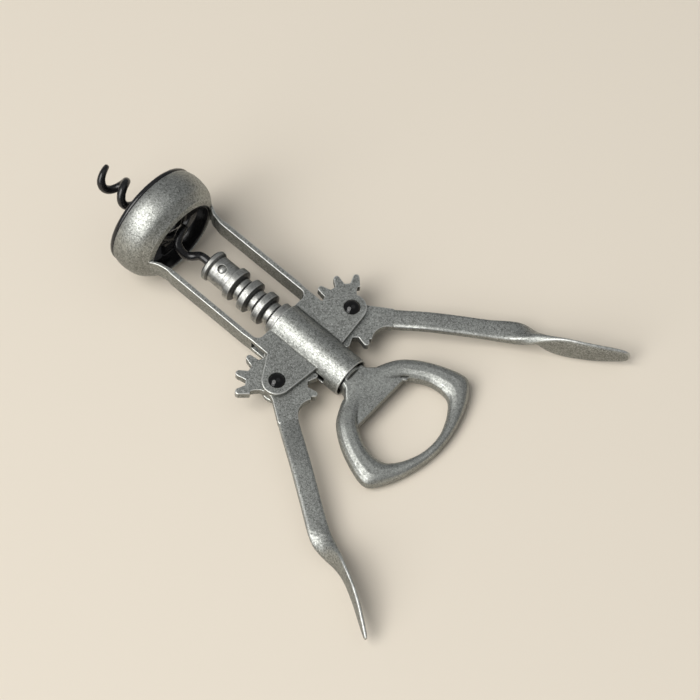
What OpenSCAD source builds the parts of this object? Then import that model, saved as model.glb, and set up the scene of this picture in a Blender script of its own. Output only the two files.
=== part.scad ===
// Wing corkscrew: a cast frame with a bell for the bottle neck, two geared levers,
// a ring rack pulled by them, and a worm turned by a bottle-opener handle.
// Millimetres. The origin is the centre of the bell's mouth. +X points out of the mouth
// and +Z is the front face. The tool lies along -X: distances named *_at are measured
// from the mouth towards the handle.

/* [Bell] */
// Distance from the mouth to the bell's widest place
bell_belly_at = 6; // [5:0.1:7]
// Radius of the arc that shapes the bell's outside
bell_arc_r = 17; // [16:0.1:19]
// Distance from the mouth to the bell's top rim
bell_end_at = 17.8; // [17:0.1:18.5]
// Radius of the bell's top opening
bell_top_r = 15.3; // [14.8:0.1:15.5]
// Wall of the bell at its belly
bell_wall = 3.2; // [2.8:0.1:3.6]

/* [Liner] */
// Radius of the bore that slips over the bottle's mouth
neck_bore_r = 15.5; // [14.8:0.1:16]
// Depth of that bore
neck_bore_depth = 9; // [7:0.1:9.5]
// Thickness of the sleeve between the neck and the bell
skirt_t = 2.3; // [2:0.1:2.6]
// Thickness of the lip that covers the bell's mouth edge
lip_t = 1.1; // [0.8:0.1:1.4]
// Thickness of the spoked floor
floor_t = 2; // [1.5:0.1:2.4]
// Wall of the collar inside the top opening
liner_wall = 1; // [0.8:0.1:1.2]
// Width of each spoke
spoke_w = 6.5; // [4:0.1:7]
// Outer radius of the hub that guides the worm
hub_r = 7.4; // [7:0.1:8.5]

/* [Rails] */
// Half distance between the inner faces of the two rails
rail_in = 12.8; // [12:0.1:13.4]
// Width of a rail
rail_w = 1.6; // [1.4:0.1:2.4]
// Depth of the rails and of the whole flat part, front to back
frame_depth = 8; // [7.4:0.1:9]
// Distance from the mouth to the end of the window between the rails
window_end_at = 65.4; // [64:0.1:66]
// Corner radius of the window
window_corner_r = 2.6; // [1.5:0.1:3.5]

/* [Barrel] */
// Outer radius of the barrel
barrel_r = 7.65; // [7.5:0.05:8]
// Distance from the mouth to the barrel's open end
barrel_end_at = 97.8; // [97:0.1:99]
// Radial gap between the rack's rings and the barrel
rack_gap = 0.45; // [0.3:0.05:0.5]
// Width of the slot that the levers work in
slot_w = 3.8; // [3.6:0.05:4.2]
// Length of the slot past the lever pivots
slot_past = 11; // [10.5:0.1:12]

/* [Levers] */
// Distance from the mouth to the lever pivots
pivot_at = 80.7; // [80.2:0.1:81.2]
// Distance of each pivot from the tool's axis
pivot_y = 19.9; // [19.6:0.05:20.2]
// Radius of the ears round the pivots
ear_r = 5.4; // [5:0.1:5.8]
// Angle of the levers away from the handle's side of the axis, as they rest
lever_angle = 35; // [33:0.5:37]
// Thickness of a lever
lever_t = 3.4; // [3:0.05:3.5]
// Outer edge of a lever's bar from the line through the pivot
bar_out = 2.8; // [2.6:0.1:3.2]
// Inner edge of a lever's bar from the line through the pivot
bar_in = 4.5; // [4:0.1:4.8]
// Distance from the pivot to the tip of the lever
lever_len = 99.5; // [94:0.5:104]
// Height of the upright grip at its widest
grip_h = 10.7; // [9:0.1:12]
// Thickness of the grip
grip_t = 2.1; // [1.8:0.1:2.6]
// How far the grip stands in from the line of the bar
grip_set_in = 7.2; // [5:0.1:8]
// How far the bar is cranked forward past the ears
bar_rise = 2.6; // [0:0.1:3]
// How far the grip stands forward at its tip
grip_rise = 7.4; // [4:0.1:8]

/* [Teeth] */
// Teeth on a full turn of a lever's gear
teeth_per_turn = 12; // [12:1:12]
// Teeth that each lever has
tooth_count = 8; // [8:1:8]
// Distance from ring to ring on the rack
ring_pitch = 7; // [6.9:0.02:7.1]
// Radius over the gear's teeth
tooth_tip_r = 14.9; // [14.4:0.05:15]
// Radius at the roots of the gear's teeth
tooth_root_r = 10.9; // [10.5:0.1:11.1]
// Half width of a tooth at its rounded tip
tooth_tip_w = 1.2; // [1:0.05:1.35]
// Half width of a tooth at its root
tooth_root_w = 2; // [1.8:0.05:2.2]
// Angle from the bar to the tooth beside its outer edge
first_tooth_angle = 88.9; // [88.5:0.1:89.3]

/* [Rack] */
// Outer radius of the rings
ring_r = 6.4; // [6.2:0.05:6.5]
// Radius of the grooves between the rings
groove_r = 4.4; // [4.2:0.05:4.6]
// Half width of a ring at its top
ring_top_w = 1.3; // [1.1:0.05:1.4]
// Half width of a ring at its foot
ring_foot_w = 2.1; // [1.8:0.05:2.3]
// Rings on the rack
ring_count = 7; // [7:1:7]
// Rings on the rack before the two that a lever's tooth lies between
ring_lead = 5; // [5:1:5]

/* [Worm] */
// Diameter of the worm's wire
wire_d = 3.2; // [3:0.1:3.3]
// Outer radius of the worm's coil
coil_r = 5.1; // [4.8:0.1:5.4]
// Pitch of the worm
coil_pitch = 10.3; // [9:0.1:11]
// How far the worm's point stands out of the mouth
point_out = 23.8; // [20:0.1:25]
// Distance from the mouth to the place where the coil begins to close on the axis
coil_end_at = 22.5; // [21:0.1:23.5]
// Length over which the coil closes on the axis
coil_close = 5.5; // [5:0.1:6]
// Radial gap between the worm and the hub
worm_gap = 0.5; // [0.4:0.05:0.8]

/* [Spindle] */
// Radius of the steel spindle inside the rack
spindle_r = 2.5; // [2.4:0.05:2.7]
// Radial running gap between the spindle and the rack
spindle_gap = 0.05; // [0.03:0.01:0.08]
// Radius of the pinned collar
collar_r = 5.3; // [5.1:0.05:5.5]
// Radius of the flange at the collar's end
flange_r = 6.1; // [5.8:0.05:6.2]
// Width of that flange
flange_w = 2.4; // [2:0.1:2.8]
// Length of the collar with its flange
collar_len = 10.7; // [10:0.1:11.4]
// How far the worm's shank reaches past the cross pin
shank_seat = 4; // [3:0.1:5]
// Radius of the cross pin's head
pin_head_r = 1.6; // [1.4:0.05:1.8]
// Radius of the cross pin's shank
pin_r = 0.7; // [0.6:0.05:0.8]
// End play between collar and rack, and between rack and handle
end_play = 0.1; // [0.05:0.01:0.15]

/* [Handle] */
// Radius of the neck that enters the barrel
neck_r = 5.3; // [5:0.1:5.6]
// Gap between the barrel and the widening of the handle
shoulder_gap = 2.3; // [2:0.1:3]
// Length of the loop, from its root to the far side of its end bar
loop_len = 38.3; // [36:0.1:42]
// Half width of the loop
loop_w = 27.8; // [25:0.1:30]
// Half thickness of the loop's sides
loop_side_t = 3.8; // [3.4:0.1:4.2]
// Half thickness of the loop's end bar
loop_end_t = 2.75; // [2.4:0.05:3]
// Distance from the loop's root to the opener's straight edge
web_len = 11.4; // [10:0.1:12]
// Thickness of the web at that edge
web_t = 3.2; // [2.6:0.1:3.6]
// Distance from the spindle's end to the handle's shoulder
spindle_short = 0.6; // [0.4:0.1:3]

/* [Rivets] */
// Radius of the rivets' shanks
rivet_r = 1.9; // [1.8:0.05:2.1]
// Radial running gap between a lever and its rivet
rivet_gap = 0.05; // [0.03:0.01:0.08]
// Radius of the domed heads
rivet_head_r = 3.1; // [2.7:0.05:3.3]
// Height of the domed heads
rivet_head_h = 1.7; // [1.4:0.05:2]

/* [Hidden] */
$fn = 96;
cut = 1;
pewter = [0.50, 0.51, 0.50];
turned = [0.60, 0.61, 0.62];
black = [0.06, 0.06, 0.06];
steel = [0.55, 0.56, 0.58];

half_depth = frame_depth / 2;
skirt_r = neck_bore_r + skirt_t;
bell_r = skirt_r + bell_wall;
rail_out = rail_in + rail_w;
bore_r = ring_r + rack_gap;
shoulder_at = barrel_end_at + shoulder_gap;
slot_from = window_end_at - 1.8;
slot_to = pivot_at + slot_past;

// The gear's pitch circle rolls on the rack: one tooth for each ring.
tooth_step = 360 / teeth_per_turn;
pitch_r = ring_pitch * teeth_per_turn / (2 * PI);

// The tooth nearest the rack stands this far past the square-on position, and the rack's
// rings are placed so that it lies midway between two of them.
engaged_angle = lever_angle + first_tooth_angle + 5 * tooth_step - 270;
gap_at = pivot_at + pitch_r * engaged_angle * PI / 180;
ring_1_at = gap_at - (ring_lead + 0.5) * ring_pitch;
rack_from = ring_1_at - ring_top_w;
rack_to = ring_1_at + (ring_count - 1) * ring_pitch + ring_foot_w;
collar_from = rack_from - end_play - collar_len;
collar_to = rack_from - end_play;
pin_at = collar_from + flange_w + (collar_len - flange_w) * 0.45;
pin_turn = 10;
neck_from = rack_to + end_play;
loop_at = shoulder_at + 0.7;
spindle_from = collar_from + flange_w;
spindle_to = shoulder_at - spindle_short;

// Turns a part whose own axis is +Z so that it runs from the mouth to the handle.
module along() {
    rotate([0, -90, 0]) children();
}

// Draws a plan outline given as [distance from the mouth, y], centred on z = 0.
module plan(h) {
    mirror([1, 0, 0]) linear_extrude(h, center = true) children();
}

module tube_along(r, from, to) {
    along() translate([0, 0, from]) cylinder(r = r, h = to - from);
}

// Points on a circle where the tangents from p touch it.
function tangent_point(c, r, p, side) =
    let (d = p - c, a = atan2(d[1], d[0]) + side * acos(r / norm(d)))
    c + r * [cos(a), sin(a)];

// One span of a Catmull-Rom curve through rows of values.
function blend(a, b, c, d, t) =
    0.5 * (2 * b + (c - a) * t + (2 * a - 5 * b + 4 * c - d) * t * t
           + (3 * b - a - 3 * c + d) * t * t * t);

// The side walls and two caps of a tube whose rings are lists of points.
function ring_faces(rings, sides) = concat(
    [for (i = [0 : rings - 2], j = [0 : sides - 1])
        each [[i * sides + j, (i + 1) * sides + (j + 1) % sides, i * sides + (j + 1) % sides],
              [i * sides + j, (i + 1) * sides + j, (i + 1) * sides + (j + 1) % sides]]],
    [[for (j = [0 : sides - 1]) j]],
    [[for (j = [sides - 1 : -1 : 0]) (rings - 1) * sides + j]]);

// ---------------------------------------------------------------- frame

module bell_outside() {
    rotate_extrude() intersection() {
        translate([bell_r - bell_arc_r, bell_belly_at]) circle(r = bell_arc_r, $fn = 180);
        translate([0, lip_t]) square([bell_r + cut, bell_end_at - lip_t]);
    }
}

module bell_inside() {
    rotate_extrude() polygon([
        [0, 0], [skirt_r, 0],
        [skirt_r, neck_bore_depth + floor_t + 0.6], [bell_top_r, neck_bore_depth + floor_t + 2.2],
        [bell_top_r, bell_end_at + cut], [0, bell_end_at + cut]]);
}

// The rails spread outwards where they grow out of the bell's rim: t runs from the rim to
// the straight part.
root_len = 6.4;
root_steps = 8;
function root_spread(t) = pow(1 - t, 2.2);
function root_line(y, y_at_rim) = [for (i = [0 : root_steps]) let (t = i / root_steps)
    [bell_end_at + root_len * t, y + (y_at_rim - y) * root_spread(t)]];

module rail_pair() {
    inner = root_line(rail_in, bell_top_r + 0.1);
    outer = root_line(rail_out, bell_top_r + 1.1);
    for (side = [-1, 1]) scale([1, side])
        polygon(concat(
            [[bell_end_at - 2, bell_top_r + 0.1]], inner,
            [[window_end_at + 6, rail_in], [window_end_at + 6, rail_out]],
            [for (i = [root_steps : -1 : 0]) outer[i]],
            [[bell_end_at - 2, bell_top_r + 1.7]]));
}

module ear_outline() {
    c = [pivot_at, pivot_y];
    a = [window_end_at + 5.7, rail_out];
    b = [pivot_at + ear_r + 1.5, barrel_r - 1];
    polygon([[window_end_at, 0], [window_end_at, rail_out], a, tangent_point(c, ear_r, a, -1), c,
             tangent_point(c, ear_r, b, 1), b, [b[0], 0]]);
    translate(c) circle(r = ear_r);
}

module window_corners() {
    for (side = [-1, 1]) scale([1, side])
        translate([window_end_at - window_corner_r, rail_in - window_corner_r])
            difference() {
                square(window_corner_r + 0.1);
                circle(r = window_corner_r);
            }
}

module frame_outline() {
    rail_pair();
    ear_outline();
    mirror([0, 1]) ear_outline();
    window_corners();
}

module frame_casting() {
    color(pewter) difference() {
        union() {
            along() difference() {
                bell_outside();
                bell_inside();
            }
            plan(frame_depth) frame_outline();
            tube_along(barrel_r, window_end_at + 0.3, barrel_end_at);
        }
        tube_along(bore_r, window_end_at - cut, barrel_end_at + cut);
        plan(slot_w) lever_slot();
        for (side = [-1, 1])
            translate([-pivot_at, side * pivot_y, -frame_depth]) cylinder(r = rivet_r, h = 2 * frame_depth);
    }
}

module lever_slot() {
    reach = pivot_y + ear_r + cut;
    translate([slot_from, -reach]) square([slot_to - slot_from, 2 * reach]);
}

// ---------------------------------------------------------------- liner

module bell_liner() {
    color(black) along() difference() {
        union() {
            rotate_extrude() polygon([
                [neck_bore_r, 0], [bell_r - 1.1, 0], [bell_r - 0.6, 0.5], [bell_r - 0.6, lip_t],
                [skirt_r, lip_t], [skirt_r, neck_bore_depth + floor_t + 0.6],
                [bell_top_r, neck_bore_depth + floor_t + 2.2], [bell_top_r, bell_end_at - 0.3],
                [bell_top_r - liner_wall, bell_end_at - 0.3],
                [bell_top_r - liner_wall, neck_bore_depth + floor_t], [neck_bore_r, neck_bore_depth]]);
            translate([0, 0, neck_bore_depth]) spoked_floor();
        }
        translate([0, 0, -cut]) cylinder(r = coil_r + worm_gap, h = bell_end_at + 2 * cut);
    }
}

module spoked_floor() {
    cylinder(r = hub_r, h = floor_t + 1);
    intersection() {
        cylinder(r = neck_bore_r + 0.4, h = floor_t);
        for (turn = [0, 90]) rotate(turn)
            translate([-bell_r, -spoke_w / 2, 0]) cube([2 * bell_r, spoke_w, floor_t]);
    }
}

// ---------------------------------------------------------------- rack and screw

module rack() {
    tips = [for (i = [0 : ring_count - 1]) let (s = ring_1_at + i * ring_pitch)
        each (i == 0)
            ? [[ring_r, s - ring_top_w], [ring_r, s + ring_top_w], [groove_r, s + ring_foot_w]]
            : [[groove_r, s - ring_foot_w], [ring_r, s - ring_top_w],
               [ring_r, s + ring_top_w], [groove_r, s + ring_foot_w]]];
    color(turned) along() difference() {
        rotate_extrude() polygon(concat([[0, rack_from]], tips, [[0, rack_to]]));
        translate([0, 0, rack_from - cut])
            cylinder(r = spindle_r + spindle_gap, h = rack_to - rack_from + 2 * cut);
    }
}

module spindle() {
    color(steel) difference() {
        tube_along(spindle_r, spindle_from, spindle_to);
        tube_along(wire_d / 2, spindle_from - cut, pin_at + shank_seat);
        pin_place(pin_r, 2 * flange_r);
    }
}

// A round hole or bar across the collar at the pin.
module pin_place(r, length) {
    translate([-pin_at, 0, 0]) rotate([-pin_turn, 0, 0]) cylinder(r = r, h = length, center = true);
}

module worm_collar() {
    color(turned) difference() {
        along() rotate_extrude() polygon([
            [wire_d / 2, collar_from], [flange_r - 0.7, collar_from], [flange_r, collar_from + 0.7],
            [flange_r, collar_from + flange_w - 0.5], [collar_r, collar_from + flange_w + 0.2],
            [collar_r, collar_to], [spindle_r, collar_to], [spindle_r, collar_from + flange_w],
            [wire_d / 2, collar_from + flange_w]]);
        pin_place(pin_head_r, 2 * flange_r);
    }
}

module collar_pin() {
    head_from = spindle_r + 0.35;
    head_to = collar_r - 0.55;
    color(steel) translate([-pin_at, 0, 0]) rotate([-pin_turn, 0, 0]) {
        cylinder(r = pin_r, h = 2 * head_from + 0.2, center = true);
        for (side = [0, 180]) rotate([side, 0, 0])
            rotate_extrude() polygon([
                [0, head_from], [pin_head_r, head_from], [pin_head_r, head_to - 0.3],
                [pin_head_r - 0.5, head_to + 0.05], [0.5, head_to + 0.3], [0, head_to + 0.3]]);
    }
}

// The wire's centre at distance s from the mouth. The coil's first turn beside the point
// narrows a little, and its last half turn closes on the axis.
coil_centre_r = coil_r - wire_d / 2;
coil_phase = 37;
worm_sides = 10;
worm_rings_a_turn = 22;
shank_from = coil_end_at + coil_close;
shank_to = pin_at + shank_seat;

function ease(t) = let (k = min(max(t, 0), 1)) k * k * (3 - 2 * k);
function coil_at(s) = coil_centre_r * (1 - ease((s - coil_end_at) / coil_close));
function worm_centre(s) =
    let (turn = coil_phase + 360 * (s + point_out) / coil_pitch)
    [-s, coil_at(s) * -cos(turn), coil_at(s) * sin(turn)];
function worm_radius(s) = wire_d / 2 * (0.35 + 0.65 * ease((s + point_out + 0.3) / 2.2));
function unit(v) = v / norm(v);

function worm_ring(s) =
    let (c = worm_centre(s), w = unit(worm_centre(s + 0.05) - worm_centre(s - 0.05)),
         n = unit(cross(w, [1, 0.02, 0.03])), b = cross(w, n), r = worm_radius(s))
    [for (j = [0 : worm_sides - 1]) let (a = 360 * j / worm_sides) c + r * (cos(a) * n + sin(a) * b)];

module worm() {
    step = coil_pitch / worm_rings_a_turn;
    count = floor((shank_from + point_out) / step) + 1;
    rings = [for (i = [0 : count - 1]) each worm_ring(i * step - point_out)];
    color(black) {
        polyhedron(rings, ring_faces(count, worm_sides), convexity = 8);
        difference() {
            tube_along(wire_d / 2, shank_from - 0.4, shank_to);
            pin_place(pin_r, 2 * flange_r);
        }
    }
}

// ---------------------------------------------------------------- handle

// Half of the loop, from its root to the end bar. Each row has the loop's outer edge and its
// inner edge, each as shares of the loop's length and half width, and half its thickness.
loop_rows = [
    [0.000, 0.000, 0.180, 0.000, loop_side_t * 0.84],
    [0.014, 0.260, 0.195, 0.200, loop_side_t * 0.86],
    [0.050, 0.410, 0.235, 0.335, loop_side_t * 0.90],
    [0.130, 0.605, 0.295, 0.445, loop_side_t * 0.96],
    [0.266, 0.765, 0.385, 0.530, loop_side_t],
    [0.398, 0.868, 0.480, 0.598, loop_side_t],
    [0.530, 0.946, 0.570, 0.624, loop_side_t],
    [0.655, 0.998, 0.645, 0.624, loop_side_t],
    [0.738, 0.992, 0.712, 0.602, loop_side_t * 0.97],
    [0.806, 0.905, 0.762, 0.545, loop_side_t * 0.90],
    [0.876, 0.740, 0.812, 0.448, loop_end_t * 1.10],
    [0.930, 0.550, 0.855, 0.330, loop_end_t * 1.03],
    [0.978, 0.300, 0.893, 0.180, loop_end_t],
    [1.000, 0.000, 0.908, 0.000, loop_end_t]];
loop_sides = 14;
spans = 3;

function mirrored(row) = [row[0], -row[1], row[2], -row[3], row[4]];
loop_closed = concat(loop_rows, [for (i = [len(loop_rows) - 2 : -1 : 1]) mirrored(loop_rows[i])]);

function loop_row(k) =
    let (n = len(loop_closed), i = floor(k / spans), t = (k % spans) / spans)
    blend(loop_closed[(i + n - 1) % n], loop_closed[i % n],
          loop_closed[(i + 1) % n], loop_closed[(i + 2) % n], t);
function loop_place(s, y) = [-loop_at - loop_len * s, loop_w * y, 0];
function bulge(x) = sign(x) * pow(abs(x), 0.85);

// An oval section that spans from the outer edge to the inner edge.
function loop_ring(row) =
    let (a = loop_place(row[0], row[1]), b = loop_place(row[2], row[3]), c = (a + b) / 2)
    [for (j = [0 : loop_sides - 1]) let (t = 360 * j / loop_sides)
        c + bulge(cos(t)) * (a - c) + [0, 0, row[4] * bulge(sin(t))]];

// A closed ring of rings has no caps: its last ring joins its first.
function closed_faces(rings, sides) =
    [for (i = [0 : rings - 1], j = [0 : sides - 1])
        let (k = (i + 1) % rings, m = (j + 1) % sides)
        each [[i * sides + j, i * sides + m, k * sides + m], [i * sides + j, k * sides + m, k * sides + j]]];

module handle_loop() {
    total = len(loop_closed) * spans;
    polyhedron([for (k = [0 : total - 1]) each loop_ring(loop_row(k))],
               closed_faces(total, loop_sides), convexity = 6);
}

// The web grows thinner and wider from the neck to the opener's edge.
edge_at = loop_at + web_len;
module handle_web() {
    slab = 0.4;
    hull() {
        tube_along(neck_r * 0.82, shoulder_at - slab, shoulder_at, $fn = 32);
        web_slab(loop_at + loop_len * 0.1, loop_w * 0.42, loop_side_t * 1.5, slab);
        web_slab(edge_at - slab, loop_w * 0.5, web_t, slab);
    }
    // the lip that catches a crown cap
    translate([-edge_at, -loop_w * 0.455, web_t / 2 - 0.5]) sphere(r = 1.1, $fn = 24);
}

module web_slab(at, half_w, t, slab) {
    translate([-at - slab, -half_w, -t / 2]) cube([slab, 2 * half_w, t]);
}

module handle() {
    color(pewter) difference() {
        union() {
            handle_loop();
            handle_web();
            tube_along(neck_r, neck_from, shoulder_at);
        }
        tube_along(spindle_r, neck_from - cut, spindle_to);
    }
}

// ---------------------------------------------------------------- levers

// A lever is drawn with its pivot at the origin and its bar along +X. Its outer edge, away
// from the handle, is at +Y.
module tooth() {
    tip = tooth_tip_r - tooth_tip_w;
    polygon([[tooth_root_r - 1, -tooth_root_w], [tip, -tooth_tip_w],
             [tip, tooth_tip_w], [tooth_root_r - 1, tooth_root_w]]);
    translate([tip, 0]) circle(r = tooth_tip_w, $fn = 32);
}

// The webs between gear and bar are hollowed by two arcs that run out along the bar's edges.
outer_arc_r = 5.5;
outer_arc_at = 6.5;
inner_arc_r = 6;
inner_arc_at = 14.5;

module gear_outline() {
    difference() {
        union() {
            circle(r = tooth_root_r);
            translate([0, -bar_in - inner_arc_r]) square([inner_arc_at, bar_in + inner_arc_r]);
            square([outer_arc_at, bar_out + outer_arc_r]);
        }
        translate([outer_arc_at, bar_out + outer_arc_r]) circle(r = outer_arc_r);
        translate([outer_arc_at, bar_out]) square(2 * outer_arc_r);
        translate([inner_arc_at, -bar_in - inner_arc_r]) circle(r = inner_arc_r);
    }
    for (i = [0 : tooth_count - 1]) rotate(first_tooth_angle + i * tooth_step) tooth();
    translate([0, -bar_in]) square([inner_arc_at + 0.5, bar_in + bar_out]);
}

// Each row is the distance from the pivot, the centre's offset, half the section's width,
// half its thickness, the section's turn out of the flat and its rise to the front.
bar_mid = (bar_out - bar_in) / 2;
bar_half = (bar_out + bar_in) / 2;
bar_t = lever_t / 2;
blade_h = grip_h / 2;
blade_t = grip_t / 2;
lever_rows = [
    [inner_arc_at, bar_mid, bar_half, bar_t, 0, 0],
    [inner_arc_at + 5, bar_mid, bar_half, bar_t, 0, bar_rise * 0.25],
    [inner_arc_at + 12, bar_mid - 0.1, bar_half, bar_t, 0, bar_rise * 0.72],
    [36, bar_mid - 0.25, bar_half, bar_t, 0, bar_rise * 0.96],
    [50, bar_mid - 0.4, bar_half, bar_t, 0, bar_rise],
    [57, bar_mid - 0.5, bar_half + 0.1, bar_t, 4, bar_rise * 1.05],
    [62, bar_mid - 1.1, bar_half + 0.2, bar_t * 0.9, 27, bar_rise + (grip_rise - bar_rise) * 0.12],
    [66.5, -grip_set_in * 0.45, bar_half + 0.6, bar_t * 0.78, 60, bar_rise + (grip_rise - bar_rise) * 0.32],
    [71, -grip_set_in * 0.68, blade_h * 0.97, blade_t * 1.15, 82, bar_rise + (grip_rise - bar_rise) * 0.55],
    [76, -grip_set_in * 0.84, blade_h, blade_t, 90, bar_rise + (grip_rise - bar_rise) * 0.72],
    [82, -grip_set_in * 0.95, blade_h * 0.92, blade_t, 90, bar_rise + (grip_rise - bar_rise) * 0.85],
    [88, -grip_set_in, blade_h * 0.76, blade_t, 90, grip_rise * 0.95],
    [93, -grip_set_in, blade_h * 0.56, blade_t * 0.9, 90, grip_rise * 0.98],
    [lever_len - 2.2, -grip_set_in, blade_h * 0.36, blade_t * 0.75, 90, grip_rise],
    [lever_len, -grip_set_in, blade_h * 0.2, blade_t * 0.5, 90, grip_rise]];
lever_sides = 14;
lever_steps = 3;

function lever_row(k) =
    let (n = len(lever_rows), i = min(floor(k / lever_steps), n - 2), t = k / lever_steps - i)
    blend(lever_rows[max(i - 1, 0)], lever_rows[i], lever_rows[i + 1], lever_rows[min(i + 2, n - 1)], t);

// The section is a rounded bar: nearly square-cornered along the bar, lens-like at the grip.
function lever_ring(k) =
    let (row = lever_row(k), power = 0.42 + 0.4 * row[4] / 90)
    [for (j = [0 : lever_sides - 1])
        let (a = 360 * (j + 0.5) / lever_sides,
             p = row[2] * sign(cos(a)) * pow(abs(cos(a)), power),
             q = row[3] * sign(sin(a)) * pow(abs(sin(a)), power))
        [row[0], row[1] + p * cos(row[4]) + q * sin(row[4]),
         row[5] - p * sin(row[4]) + q * cos(row[4])]];

module lever_grip() {
    total = (len(lever_rows) - 1) * lever_steps + 1;
    polyhedron([for (k = [0 : total - 1]) each lever_ring(k)], ring_faces(total, lever_sides), convexity = 4);
}

module lever() {
    color(pewter) difference() {
        union() {
            linear_extrude(lever_t, center = true) gear_outline();
            lever_grip();
        }
        cylinder(r = rivet_r + rivet_gap, h = 4 * lever_t, center = true);
    }
}

module lever_left() {
    translate([-pivot_at, -pivot_y, 0]) rotate(180 + lever_angle) lever();
}

module lever_right() {
    mirror([0, 1, 0]) lever_left();
}

// ---------------------------------------------------------------- rivets

module rivet(side) {
    dome_r = (rivet_head_r * rivet_head_r + rivet_head_h * rivet_head_h) / (2 * rivet_head_h);
    color(black) translate([-pivot_at, side * pivot_y, 0]) {
        cylinder(r = rivet_r, h = frame_depth + 0.2, center = true);
        for (turn = [0, 180]) rotate([turn, 0, 0]) translate([0, 0, half_depth]) intersection() {
            translate([0, 0, rivet_head_h - dome_r]) sphere(r = dome_r);
            cylinder(r = rivet_head_r, h = rivet_head_h + cut);
        }
    }
}

module rivet_left() {
    rivet(-1);
}

module rivet_right() {
    rivet(1);
}

frame_casting();
bell_liner();
rack();
spindle();
worm();
worm_collar();
collar_pin();
handle();
lever_left();
lever_right();
rivet_left();
rivet_right();
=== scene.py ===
import math

import bmesh
import bpy
import numpy as np
from mathutils import Matrix, Vector


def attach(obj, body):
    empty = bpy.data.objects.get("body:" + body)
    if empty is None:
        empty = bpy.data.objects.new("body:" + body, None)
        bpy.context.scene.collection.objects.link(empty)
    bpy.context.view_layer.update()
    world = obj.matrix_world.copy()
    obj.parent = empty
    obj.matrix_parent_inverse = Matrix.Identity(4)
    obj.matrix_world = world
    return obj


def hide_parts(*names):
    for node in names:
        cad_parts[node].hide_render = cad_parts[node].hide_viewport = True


# Metres in Blender, millimetres in the form functions. The tool's axis runs from the bell's mouth
# at x = 0 to the handle at negative x; s is the distance from the mouth, so s = -x.
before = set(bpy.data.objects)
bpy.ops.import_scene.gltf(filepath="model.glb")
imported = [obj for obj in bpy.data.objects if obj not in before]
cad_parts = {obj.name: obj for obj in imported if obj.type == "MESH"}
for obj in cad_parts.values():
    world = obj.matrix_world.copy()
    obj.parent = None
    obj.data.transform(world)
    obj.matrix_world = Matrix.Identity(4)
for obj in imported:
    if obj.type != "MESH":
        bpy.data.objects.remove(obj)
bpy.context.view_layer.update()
MM = 0.001
# The grain of the skins, and the shares of it that smaller pieces get.
VOXEL = 0.28 * MM
FINE_SHARE = 0.85
FINEST_SHARE = 0.6
MAX_FACES = 190000

# ------------------------------------------------------------------ mesh helpers


def points_of(mesh):
    co = np.zeros(len(mesh.vertices) * 3)
    mesh.vertices.foreach_get("co", co)
    return co.reshape(-1, 3)


def set_points(mesh, co):
    mesh.vertices.foreach_set("co", np.ascontiguousarray(co, np.float32).ravel())
    mesh.update()


def neighbours_of(mesh, count):
    """The pairs of points that edges join, and how many edges each point has."""
    pairs = np.zeros(len(mesh.edges) * 2, np.int64)
    mesh.edges.foreach_get("vertices", pairs)
    degree = np.maximum(np.bincount(pairs, minlength=count), 1)
    return pairs.reshape(-1, 2), degree


def neighbour_mean(co, edges, degree):
    total = np.zeros_like(co)
    for k in range(3):
        total[:, k] = np.bincount(edges[:, 0], co[edges[:, 1], k], len(co))
        total[:, k] += np.bincount(edges[:, 1], co[edges[:, 0], k], len(co))
    return total / degree[:, None]


def smooth_points(mesh, rounds):
    """Each round draws the points in and lets them out again, so that the piece keeps its size."""
    draw_in, let_out = 0.52, -0.54
    co = points_of(mesh)
    edges, degree = neighbours_of(mesh, len(co))
    for _ in range(rounds):
        for share in (draw_in, let_out):
            co += share * (neighbour_mean(co, edges, degree) - co)
    set_points(mesh, co)


def store_wear_and_shade(mesh):
    """Keeps how far each point stands out of its surroundings: above 0 on edges, below 0 in hollows.
    The materials lighten edges by it as wear and darken hollows by it, partly as patina and partly as
    painted shade.
    """
    spread = 3
    co = points_of(mesh)
    edges, degree = neighbours_of(mesh, len(co))
    normals = np.zeros(len(co) * 3)
    mesh.vertices.foreach_get("normal", normals)
    normals = normals.reshape(-1, 3)
    length = np.linalg.norm(co[edges[:, 0]] - co[edges[:, 1]], axis=1).mean()
    bend = -((neighbour_mean(co, edges, degree) - co) * normals).sum(1) / length
    value = np.repeat(bend[:, None], 3, 1)
    for _ in range(spread):
        value = 0.5 * value + 0.5 * neighbour_mean(value, edges, degree)
    layer = mesh.attributes.new("wear_and_shade", "FLOAT", "POINT")
    layer.data.foreach_set("value", value[:, 0].astype(np.float32))


def shade_smooth(mesh):
    mesh.polygons.foreach_set("use_smooth", np.ones(len(mesh.polygons), bool))
    mesh.update()


def mesh_from(bm, name):
    mesh = bpy.data.meshes.new(name)
    bm.to_mesh(mesh)
    bm.free()
    return mesh


def joined(meshes):
    bm = bmesh.new()
    for mesh in meshes:
        bm.from_mesh(mesh)
    return mesh_from(bm, "joined")


def modified(mesh, kind, **settings):
    """A new mesh: the given one after one modifier."""
    obj = bpy.data.objects.new("source_tmp", mesh)
    bpy.context.scene.collection.objects.link(obj)
    modifier = obj.modifiers.new("modifier", kind)
    for key, value in settings.items():
        setattr(modifier, key, value)
    depsgraph = bpy.context.evaluated_depsgraph_get()
    out = bpy.data.meshes.new_from_object(obj.evaluated_get(depsgraph))
    bpy.data.objects.remove(obj)
    return out


def fewer_faces(mesh):
    """The same skin with no more triangles than the limit. The skin has faces of four sides."""
    share = MAX_FACES / (2 * len(mesh.polygons))
    return mesh if share >= 1 else modified(mesh, "DECIMATE", ratio=share)


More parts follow.
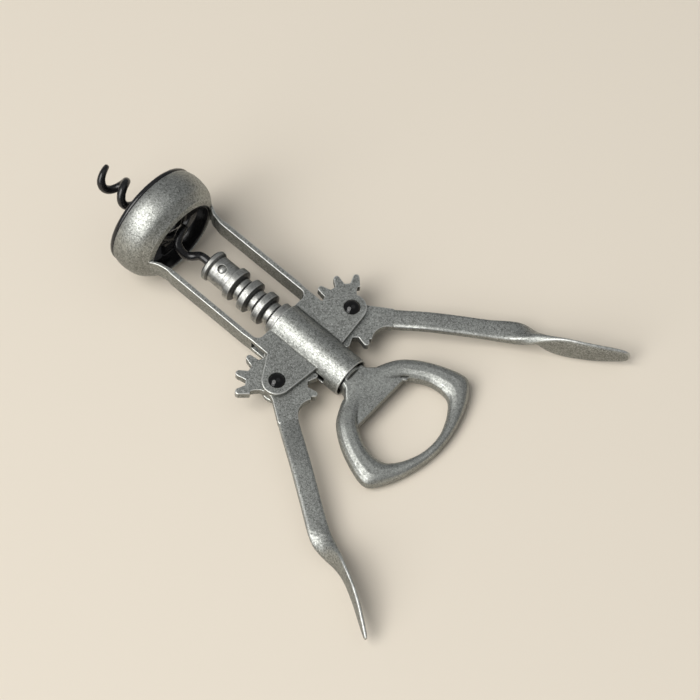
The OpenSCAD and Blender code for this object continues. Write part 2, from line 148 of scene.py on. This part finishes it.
def cast_skin(node, voxel, rounds, reshape, extra=()):
    """A closed skin of even small faces over a node and what is added to it, with softened edges."""
    source = joined([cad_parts[node].data, *extra])
    mesh = modified(source, "REMESH", mode="VOXEL", voxel_size=voxel, adaptivity=0)
    if reshape:
        set_points(mesh, reshape(points_of(mesh) / MM) * MM)
    smooth_points(mesh, rounds)
    shade_smooth(mesh)
    store_wear_and_shade(mesh)
    return fewer_faces(mesh)


def solid_of_rings(name, rings):
    """A closed solid through rings of points in millimetres, each ring with as many points."""
    bm = bmesh.new()
    rows = [[bm.verts.new(tuple(float(c) * MM for c in p)) for p in ring] for ring in rings]
    sides = len(rows[0])
    for a, b in zip(rows, rows[1:]):
        for i in range(sides):
            j = (i + 1) % sides
            bm.faces.new((a[i], a[j], b[j], b[i]))
    bm.faces.new(rows[0][::-1])
    bm.faces.new(rows[-1])
    bmesh.ops.recalc_face_normals(bm, faces=bm.faces)
    return mesh_from(bm, name)


def smooth_step(low, high, x):
    t = np.clip((x - low) / (high - low), 0, 1)
    return t * t * (3 - 2 * t)


def along_and_out(co):
    """Each point's distance from the mouth and from the axis."""
    return -co[:, 0], np.hypot(co[:, 1], co[:, 2])


# ------------------------------------------------------------------ bell, liner and rails

# The black lip is thicker than the source's by LIP_MORE, which fades out over LIP_FADE behind it.
SOURCE_LIP = 1.1
LIP_MORE = 0.7
LIP_FADE = 3.9
# The bell's upper rim lies nearer to the mouth by RIM_SHIFT, between these distances.
RIM_SHIFT = 1.3
RIM_RISE = (11, 16.5)
RIM_FALL = (18.5, 27)
BELL_WALL_R = 14
LINER_WALL_R = 13
# A chamfer runs round the rim, but not across the rails.
CHAMFER_AT = 14.9
CHAMFER_LEN = 1.6
CHAMFER_OUTER_R = 18.45
CHAMFER_INNER_R = 15.4
CHAMFER_ZONE = (14.2, 17.2)
RAIL_SIDE_Z = (4.0, 4.6)
# The rails' outer faces stand out by RAIL_OUT.
RAIL_OUT = 0.22
RAIL_START = (23, 25)
RAIL_END = (60, 63)
RAIL_FACE_Y = (13.2, 14.0)
RAIL_HALF_Z = 4.4
# Inside HUB_R the liner's hub loses the share HUB_DROP of its height beyond HUB_FROM.
HUB_R = 8.2
HUB_FROM = 10.2
HUB_DROP = 0.6


def with_lip(s):
    behind = np.clip(LIP_MORE * (1 - (s - SOURCE_LIP) / LIP_FADE), 0, LIP_MORE)
    return s + np.where(s < SOURCE_LIP, s * LIP_MORE / SOURCE_LIP, behind)


def casting_form(co):
    """The bell's lower edge and upper rim, the chamfer round it and the rails' outer faces."""
    s, r = along_and_out(co)
    s = with_lip(s)
    wall = r > BELL_WALL_R
    s = s - RIM_SHIFT * wall * smooth_step(*RIM_RISE, s) * (1 - smooth_step(*RIM_FALL, s))
    height = np.abs(co[:, 2])
    slope = (CHAMFER_OUTER_R - CHAMFER_INNER_R) / CHAMFER_LEN
    limit = CHAMFER_OUTER_R - np.clip(s - CHAMFER_AT, 0, None) * slope
    near = (s > CHAMFER_ZONE[0]) * (s < CHAMFER_ZONE[1]) * wall * smooth_step(*RAIL_SIDE_Z, height)
    chamfered = r + (np.minimum(r, limit) - r) * near
    co = co.copy()
    co[:, 1:] *= (chamfered / np.maximum(r, 1e-6))[:, None]
    rail = smooth_step(*RAIL_START, s) * (1 - smooth_step(*RAIL_END, s)) * (height < RAIL_HALF_Z)
    outer = smooth_step(*RAIL_FACE_Y, np.abs(co[:, 1]))
    co[:, 1] += np.sign(co[:, 1]) * RAIL_OUT * rail * outer
    co[:, 0] = -s
    return co


def liner_form(co):
    """The thicker lip, the lower hub and the inner collar that follows the bell's rim."""
    s, r = along_and_out(co)
    s = with_lip(s)
    s = s - (r < HUB_R) * (s > HUB_FROM) * (s - HUB_FROM) * HUB_DROP
    co = co.copy()
    co[:, 0] = RIM_SHIFT * (r > LINER_WALL_R) * smooth_step(*RIM_RISE, s) - s
    return co


# ------------------------------------------------------------------ worm

WIRE_R = 1.6
WIRE_SIDES = 24
COIL_R = 3.5
# Turns are counted from COIL_START, where the wire's centre is at the angle COIL_PHASE.
COIL_START = -21
COIL_PHASE = 148.3
COIL_TURNS = 4
# The pitch before COIL_START, the pitch there, and how the coil tightens after it.
FIRST_PITCH = 8.4
PITCH = 10.283
TIGHTENING = 0.183
# The point lies POINT_TURNS before COIL_START. There the wire has POINT_SHARE of its radius, and it
# thickens over POINT_TAPER turns.
POINT_TURNS = 0.27
POINT_SHARE = 0.64
POINT_TAPER = 0.3
# The rings that round off the point: distance, turns before COIL_START, wire radius.
POINT_END = ((-23.23, 0.278, 0.5), (-23.21, 0.274, 0.85))
# Where the coil closes on the axis: distance, radius, angle after the last whole turn.
CLOSING = ((19, COIL_R, 176), (21.3, COIL_R, 210), (23, 2.7, 222), (24.2, 1.7, 232), (25.5, 0.6, 240),
           (26.8, 0.05, 245), (28, 0, 250))
CLOSING_STEPS = 60
CLOSING_ROUNDS = 6


def coil_path(end):
    """Rows of distance, radius, angle and wire radius along the worm, from its point to its end."""
    path = [(s, COIL_R, COIL_PHASE - 360 * turns, wire) for s, turns, wire in POINT_END]
    for hundredths in range(round(-100 * POINT_TURNS), 100 * COIL_TURNS + 1, 2):
        n = hundredths / 100
        s = COIL_START + (FIRST_PITCH * n if n < 0 else PITCH * n - TIGHTENING * n * n)
        share = POINT_SHARE + (1 - POINT_SHARE) * (n + POINT_TURNS) / POINT_TAPER
        path.append((s, COIL_R, COIL_PHASE + 360 * n, WIRE_R * min(1, share)))
    last_turn = 360 * COIL_TURNS
    keys = [path[-1][:3], *[(s, r, a + last_turn) for s, r, a in CLOSING]]
    keys = np.array([*keys, (end, 0, CLOSING[-1][2] + last_turn)])
    place = np.linspace(0, len(keys) - 1, CLOSING_STEPS)
    rows = np.stack([np.interp(place, np.arange(len(keys)), keys[:, k]) for k in range(3)], 1)
    for _ in range(CLOSING_ROUNDS):
        rows[1:-1] = 0.25 * rows[:-2] + 0.5 * rows[1:-1] + 0.25 * rows[2:]
    return path + [(*row, WIRE_R) for row in rows[1:]]


def worm_solid(end):
    """A wire swept along the coil, with a blunt point and a closing turn that runs into the axis."""
    path = coil_path(end)
    centre = np.array([(-s, -r * math.cos(math.radians(a)), r * math.sin(math.radians(a)))
                       for s, r, a, _ in path])
    centre[-1, 0] = -end
    side = np.array((0.0, 0.0, 1.0))
    rings = []
    for i, c in enumerate(centre):
        ahead = centre[min(i + 1, len(centre) - 1)] - centre[max(i - 1, 0)]
        ahead /= np.linalg.norm(ahead)
        side = side - ahead * side.dot(ahead)
        side /= np.linalg.norm(side)
        over = np.cross(ahead, side)
        rings.append([c + path[i][3] * (math.cos(q) * side + math.sin(q) * over)
                      for q in np.arange(WIRE_SIDES) * math.tau / WIRE_SIDES])
    return solid_of_rings("worm_wire", rings)


# ------------------------------------------------------------------ grip

# Along lever_left: place, side offset, half width, half thickness, turn in degrees, rise.
GRIP_ROWS = np.array((
    (50, -1.25, 3.65, 1.7, 0, 2.6), (57, -1.2, 4.05, 1.95, 4, 2.73), (62, -1.6, 4.5, 2.2, 27, 3.18),
    (66.5, -3.0, 5.1, 2.2, 60, 4.34), (71, -4.9, 5.7, 1.75, 82, 5.34), (76, -6.05, 6.1, 1.3, 90, 6.16),
    (82, -6.84, 5.95, 1.25, 90, 6.78), (88, -7.2, 5.35, 1.25, 90, 7.03), (93, -7.2, 4.5, 1.2, 90, 7.25),
    (97.3, -7.2, 3.5, 1.0, 90, 7.4), (99.2, -7.2, 1.9, 0.8, 90, 7.4)))
GRIP_STEPS = 4
GRIP_SIDES = 40
# The bar's section has square shoulders, and the blade's is nearly an ellipse.
BAR_POWER = 0.42
BLADE_POWER_MORE = 0.4
UPRIGHT = 90
LEVER_TURN = math.radians(180 + 35)
LEVER_PIVOT = (-80.7, -19.9)


def grip_row(k):
    """The row at step k, on a smooth curve through GRIP_ROWS."""
    last = len(GRIP_ROWS) - 1
    i = min(k // GRIP_STEPS, last - 1)
    t = k / GRIP_STEPS - i
    a, b = GRIP_ROWS[max(i - 1, 0)], GRIP_ROWS[i]
    c, d = GRIP_ROWS[i + 1], GRIP_ROWS[min(i + 2, last)]
    bend = (2 * a - 5 * b + 4 * c - d) * t * t
    return 0.5 * (2 * b + (c - a) * t + bend + (3 * b - a - 3 * c + d) * t ** 3)


def powered(x, power):
    return math.copysign(abs(x) ** power, x)


def grip_solid():
    """The fuller, blunt grip of lever_left: its sections turn from a flat bar to an upright blade."""
    turn_cos, turn_sin = math.cos(LEVER_TURN), math.sin(LEVER_TURN)
    rings = []
    for k in range((len(GRIP_ROWS) - 1) * GRIP_STEPS + 1):
        u, v, wide, thick, twist, rise = grip_row(k)
        power = BAR_POWER + BLADE_POWER_MORE * twist / UPRIGHT
        twist = math.radians(twist)
        ring = []
        for q in (np.arange(GRIP_SIDES) + 0.5) * math.tau / GRIP_SIDES:
            p = wide * powered(math.cos(q), power)
            h = thick * powered(math.sin(q), power)
            w = v + p * math.cos(twist) + h * math.sin(twist)
            x = u * turn_cos - w * turn_sin + LEVER_PIVOT[0]
            y = u * turn_sin + w * turn_cos + LEVER_PIVOT[1]
            ring.append((x, y, rise - p * math.sin(twist) + h * math.cos(twist)))
        rings.append(ring)
    return solid_of_rings("grip", rings)


# ------------------------------------------------------------------ handle

NECK_FLAT_Z = 4.15
NECK_ZONE = (97.7, 106)
NECK_ZONE_Y = 7
# The cut ends towards the barrel and towards the loop: between these distances, this much higher.
NECK_ROUND = (97.7, 98.3)
NECK_ROUND_MORE = 3
WEB_OPENS = (101, 106)
WEB_OPENS_MORE = 6
# The lip's end is pressed flat: its place, how far round it and how high.
LIP_END = (112.2, -12.65)
LIP_END_R = 1.6
LIP_END_Z = 2.3
LIP_FLAT_Z = 1.75
# The web's rows down to the barrel's rim: distance, half width, half thickness.
WEB_ROWS = ((97.9, 5.3, 4.1), (100.1, 5.9, 4.1), (104.6, 11.0, 2.85))
WEB_BEVEL_Z = 1
WEB_BEVEL_Y = 0.8


def handle_form(co):
    """Outside the barrel the neck is cut down to the flat of the web."""
    s = -co[:, 0]
    limit = NECK_FLAT_Z + NECK_ROUND_MORE * (1 - smooth_step(*NECK_ROUND, s))
    limit = limit + WEB_OPENS_MORE * smooth_step(*WEB_OPENS, s)
    near = (s > NECK_ZONE[0]) & (s < NECK_ZONE[1]) & (np.abs(co[:, 1]) < NECK_ZONE_Y)
    co = co.copy()
    z = np.where(near, np.clip(co[:, 2], -limit, limit), co[:, 2])
    lip = np.hypot(s - LIP_END[0], co[:, 1] - LIP_END[1]) < LIP_END_R
    lip &= (z > 0) & (z < LIP_END_Z)
    co[:, 2] = np.where(lip, np.minimum(z, LIP_FLAT_Z), z)
    return co


def neck_web():
    """The flat web goes on down to the barrel's rim."""
    rings = []
    for s, wide, thick in WEB_ROWS:
        low, narrow = thick - WEB_BEVEL_Z, wide - WEB_BEVEL_Y
        front = [(wide, low), (narrow, thick), (-narrow, thick), (-wide, low)]
        back = [(y, -z) for y, z in reversed(front)]
        rings.append([(-s, y, z) for y, z in front + back])
    return solid_of_rings("neck", rings)


# ------------------------------------------------------------------ materials

GLOSS_BLACK = (0.006, 0.006, 0.0065)
RIVET_BLACK = (0.001, 0.001, 0.001)


class Nodes:
    """A material's node tree. A source is a pair: a node and the name or number of its output."""

    def __init__(self, name):
        self.material = bpy.data.materials.new(name)
        self.material.use_nodes = True
        self.tree = self.material.node_tree
        self.tree.nodes.clear()
        out = self.add("ShaderNodeOutputMaterial")
        self.bsdf = self.add("ShaderNodeBsdfPrincipled")
        self.link((self.bsdf, "BSDF"), out, "Surface")
        self.place = self.add("ShaderNodeTexCoord")

    def add(self, kind, **values):
        node = self.tree.nodes.new(kind)
        for key, value in values.items():
            if key in node.inputs:
                node.inputs[key].default_value = value
            else:
                setattr(node, key, value)
        return node

    def link(self, source, node, socket):
        self.tree.links.new(source[0].outputs[source[1]], node.inputs[socket])

    def shader(self, **values):
        """Sets constants on the shader's own sockets, with _ for a space in their names."""
        for key, value in values.items():
            self.bsdf.inputs[key.replace("_", " ")].default_value = value

    def noise(self, scale, detail, rough, place=None):
        node = self.add("ShaderNodeTexNoise", Scale=scale, Detail=detail, Roughness=rough)
        self.link(place or (self.place, "Object"), node, "Vector")
        return (node, "Fac")

    def cells(self, scale):
        node = self.add("ShaderNodeTexVoronoi", Scale=scale)
        self.link((self.place, "Object"), node, "Vector")
        return (node, "Distance")

    def stretched(self, scale):
        node = self.add("ShaderNodeMapping", Scale=scale)
        self.link((self.place, "Object"), node, "Vector")
        return (node, "Vector")

    # The bend stored on each point, for edge wear and for painted shade in hollows.
    def wear_and_shade(self):
        return (self.add("ShaderNodeAttribute", attribute_name="wear_and_shade"), "Fac")

    def facing_along(self, axis):
        """How far the surface faces along one axis of the object, from -1 to 1."""
        node = self.add("ShaderNodeSeparateXYZ")
        self.link((self.place, "Normal"), node, "Vector")
        return (node, axis)

    def size_of(self, source):
        node = self.add("ShaderNodeMath", operation="ABSOLUTE")
        self.link(source, node, 0)
        return (node, 0)

    def remap(self, source, low, high, to_low=0.0, to_high=1.0):
        """Maps low to to_low and high to to_high, and holds the value at both ends."""
        node = self.add("ShaderNodeMapRange")
        values = {"From Min": low, "From Max": high, "To Min": to_low, "To Max": to_high}
        for key, value in values.items():
            node.inputs[key].default_value = value
        self.link(source, node, "Value")
        return (node, 0)

    def mix(self, factor, a, b):
        """Mixes two colours by a source. Each colour is three numbers or a source."""
        node = self.add("ShaderNodeMix", data_type="RGBA")
        self.link(factor, node, 0)
        for socket, color in ((6, a), (7, b)):
            if hasattr(color[0], "outputs"):
                self.link(color, node, socket)
            else:
                node.inputs[socket].default_value = (*color, 1)
        return (node, 2)

    def bump(self, height, strength, distance, after=None):
        node = self.add("ShaderNodeBump", Strength=strength, Distance=distance)
        self.link(height, node, "Height")
        if after:
            self.link(after, node, "Normal")
        return (node, "Normal")

    def finish(self, color, rough, normal):
        self.link(color, self.bsdf, "Base Color")
        self.link(rough, self.bsdf, "Roughness")
        self.link(normal, self.bsdf, "Normal")
        return self.material


def times(color, factor):
    return tuple(c * factor for c in color)


def pewter(name, tone, contrast=1.0, rub=1.0):
    """Cast alloy, tumbled and dulled: mottled grey, dark specks in its pits, rubbed edges, hollows
    darkened partly as patina and partly as painted shade, and sides painted darker as shade.
    """
    n = Nodes(name)
    n.shader(Metallic=0.9)
    broad = n.noise(110, 3, 0.6)
    fine = n.noise(1150, 2.5, 0.7)
    grain = n.noise(2600, 2, 0.6)
    pits = n.cells(760)
    dark = times((0.050, 0.050, 0.044), tone)
    mid = times((0.278, 0.286, 0.268), tone)
    light = times((0.78, 0.79, 0.76), tone)
    base = n.mix(n.remap(broad, 0.35, 0.68), mid, times(mid, 1.3))
    base = n.mix(n.remap(fine, 0.56, 0.40, 0, 0.6 * contrast), base, times(mid, 0.42))
    base = n.mix(n.remap(grain, 0.52, 0.66, 0, 0.5 * contrast), base, light)
    base = n.mix(n.remap(pits, 0.30, 0.06, 0, 0.65 * contrast), base, dark)
    wear_and_shade = n.wear_and_shade()
    base = n.mix(n.remap(wear_and_shade, 0.03, 0.14, 0, 0.8 * rub), base, light)
    # Hollows darken: partly patina, partly painted shade.
    base = n.mix(n.remap(wear_and_shade, -0.012, -0.08, 0, 0.92), base, dark)
    # Sides that don't face forward are painted darker: painted shade.
    base = n.mix(n.remap(n.facing_along("Z"), 0.5, 0.05, 0, 0.3), base, dark)
    rough = n.remap(fine, 0.35, 0.7, 0.52, 0.40)
    uneven = n.bump(fine, 0.26 * contrast, 0.0002)
    uneven = n.bump(grain, 0.22 * contrast, 0.00012, uneven)
    return n.finish(base, rough, uneven)


def turned_metal(name, tone):
    """Turned alloy: fine rings round its axis, a rubbed sheen on its edges, grooves darkened partly as
    patina and partly as painted shade, and flanks darkened as painted shade.
    """
    n = Nodes(name)
    n.shader(Metallic=0.92)
    lines = n.noise(1.0, 3.0, 0.5, n.stretched((6000, 160, 160)))
    blot = n.noise(900, 3, 0.65)
    mid = times((0.34, 0.342, 0.325), tone)
    groove = (0.03, 0.029, 0.025)
    flank_shade_color = (0.05, 0.052, 0.055)
    base = n.mix(n.remap(blot, 0.38, 0.62), times(mid, 0.5), mid)
    base = n.mix(n.remap(lines, 0.35, 0.75, 0, 0.6), base, times(mid, 1.9))
    wear_and_shade = n.wear_and_shade()
    base = n.mix(n.remap(wear_and_shade, 0.02, 0.12, 0, 0.6), base, times(mid, 2))
    # Grooves darken: partly patina, partly painted shade.
    base = n.mix(n.remap(wear_and_shade, -0.004, -0.05, 0, 0.94), base, groove)
    # Faces that turn along the axis are darkened: painted shade on the rings' flanks.
    flank_shade = n.size_of(n.facing_along("X"))
    base = n.mix(n.remap(flank_shade, 0.35, 0.85, 0, 0.62), base, flank_shade_color)
    rough = n.remap(blot, 0.3, 0.7, 0.52, 0.38)
    return n.finish(base, rough, n.bump(lines, 0.3, 0.0001))


def black(name, color, rough, depth, specular=0.5):
    """A smooth coated or moulded surface with faint unevenness."""
    n = Nodes(name)
    n.shader(Specular_IOR_Level=specular)
    uneven = n.noise(900, 3, 0.5)
    paler = tuple(c * 1.5 + 0.002 for c in color)
    base = n.mix(n.remap(uneven, 0.3, 0.7), color, paler)
    spread = n.remap(uneven, 0.3, 0.7, rough * 0.85, rough * 1.15)
    return n.finish(base, spread, n.bump(uneven, depth, 0.0002))


CAST = pewter("cast_metal", 1.07)
SATIN = pewter("satin_metal", 1.14, contrast=0.7, rub=0.25)
TURNED = turned_metal("turned_metal", 1.04)
STEEL = turned_metal("steel", 1.15)
LINER = black("liner_plastic", GLOSS_BLACK, rough=0.2, depth=0.03)
COATED = black("worm_coating", GLOSS_BLACK, rough=0.26, depth=0.04)
RIVET = black("rivet_coating", RIVET_BLACK, rough=0.1, depth=0.02, specular=0.4)

# ------------------------------------------------------------------ pieces


def add_piece(node, mesh, body, material):
    """A skin that rides on a body and stands for a node."""
    obj = bpy.data.objects.new(node + "_skin", mesh)
    bpy.context.scene.collection.objects.link(obj)
    mesh.materials.clear()
    mesh.materials.append(material)
    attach(obj, body)
    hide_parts(node)


for node, body, rounds, material, reshape, extra in (
        ("frame_casting", "frame", 4, CAST, casting_form, ()),
        ("handle", "screw", 8, SATIN, handle_form, (neck_web(),)),
        ("lever_left", "left_lever", 4, CAST, None, (grip_solid(),)),
        ("lever_right", "right_lever", 4, CAST, None, ())):
    skin = cast_skin(node, VOXEL, rounds, reshape, extra)
    add_piece(node, skin, body, material)

for node, body, rounds, slot, material, reshape, share in (
        ("rack", "rack_body", 3, "turned_metal", TURNED, None, FINE_SHARE),
        ("worm_collar", "screw", 3, "turned_metal", TURNED, None, FINE_SHARE),
        ("bell_liner", "frame", 3, "liner_plastic", LINER, liner_form, FINE_SHARE),
        ("rivet_left", "frame", 3, "rivet_coating", RIVET, None, FINEST_SHARE),
        ("rivet_right", "frame", 3, "rivet_coating", RIVET, None, FINEST_SHARE),
        ("collar_pin", "screw", 2, "steel", STEEL, None, FINEST_SHARE)):
    skin = cast_skin(node, VOXEL * share, rounds, reshape)
    add_piece(node, skin, body, material)

worm_end = -points_of(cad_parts["worm"].data)[:, 0].min() / MM
wire = worm_solid(worm_end)
shade_smooth(wire)
add_piece("worm", wire, "screw", COATED)

# The spindle hides in the rack and keeps the source's form.
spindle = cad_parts["spindle"].data
spindle.materials.clear()
spindle.materials.append(STEEL)

# ------------------------------------------------------------------ stage

CAMERA_PLACE = Vector((-0.2783, 0.2766, 0.6648))
CAMERA_BACK = Vector((-0.2515, 0.3812, 0.8896))
CAMERA_UP = Vector((0.6125, -0.6490, 0.4512))
SENSOR_WIDTH = 36
LENS = 108.54
LAMP_TARGET = Vector((-0.07, 0, 0))
# At rest the tool lies on its bell and on the handle's far end, so the floor leans a little.
FLOOR_NORMAL = Vector((0.1406, 0, 0.990)).normalized()
FLOOR_POINT = Vector((-0.006, 0, -0.02118))
FLOOR_HALF = 3
FLOOR_COLOR = (0.73, 0.665, 0.565, 1)
WORLD_COLOR = (0.95, 0.97, 1.0, 1)
WORLD_STRENGTH = 0.26


def facing(place, back):
    """A camera's or lamp's matrix: it looks along -back."""
    z = back.normalized()
    x = CAMERA_UP.cross(z).normalized()
    matrix = Matrix((x, z.cross(x), z)).transposed().to_4x4()
    matrix.translation = place
    return matrix


def lamp(name, direction, distance, size, power, color):
    data = bpy.data.lights.new(name, "AREA")
    data.shape = "DISK"
    data.size = size
    data.energy = power
    data.color = color
    obj = bpy.data.objects.new(name, data)
    obj.matrix_world = facing(LAMP_TARGET + direction.normalized() * distance, direction)
    bpy.context.scene.collection.objects.link(obj)


camera = bpy.data.cameras.new("camera")
camera.sensor_width = SENSOR_WIDTH
camera.lens = LENS
camera.clip_start = 0.01
eye = bpy.data.objects.new("camera", camera)
eye.matrix_world = facing(CAMERA_PLACE, CAMERA_BACK)
bpy.context.scene.collection.objects.link(eye)
bpy.context.scene.camera = eye

across = Vector((0, 1, 0)) * FLOOR_HALF
ahead = Vector((0, 1, 0)).cross(FLOOR_NORMAL).normalized() * FLOOR_HALF
corners = [FLOOR_POINT + ahead * u + across * v for u, v in ((-1, -1), (1, -1), (1, 1), (-1, 1))]
floor_mesh = bpy.data.meshes.new("floor")
floor_mesh.from_pydata(corners, [], [(0, 1, 2, 3)])
floor = bpy.data.objects.new("floor", floor_mesh)
bpy.context.scene.collection.objects.link(floor)
floor_nodes = Nodes("floor")
floor_nodes.shader(Base_Color=FLOOR_COLOR, Roughness=0.9, Specular_IOR_Level=0.2)
floor_mesh.materials.append(floor_nodes.material)

lamp("key", Vector((0.24, 0.53, 0.81)), distance=2.5, size=2.0, power=52.0, color=(1, 0.985, 0.96))
lamp("side", Vector((0.1, 0.86, 0.46)), distance=3.0, size=2.0, power=33.0, color=(1, 0.99, 0.97))
lamp("fill", Vector((-0.1, -0.3, 1)), distance=2.2, size=1.8, power=2.8, color=(1, 1, 1))

world = bpy.data.worlds.new("world")
world.use_nodes = True
background = world.node_tree.nodes["Background"]
background.inputs["Color"].default_value = WORLD_COLOR
background.inputs["Strength"].default_value = WORLD_STRENGTH
bpy.context.scene.world = world
bpy.context.scene.view_settings.view_transform = "Standard"
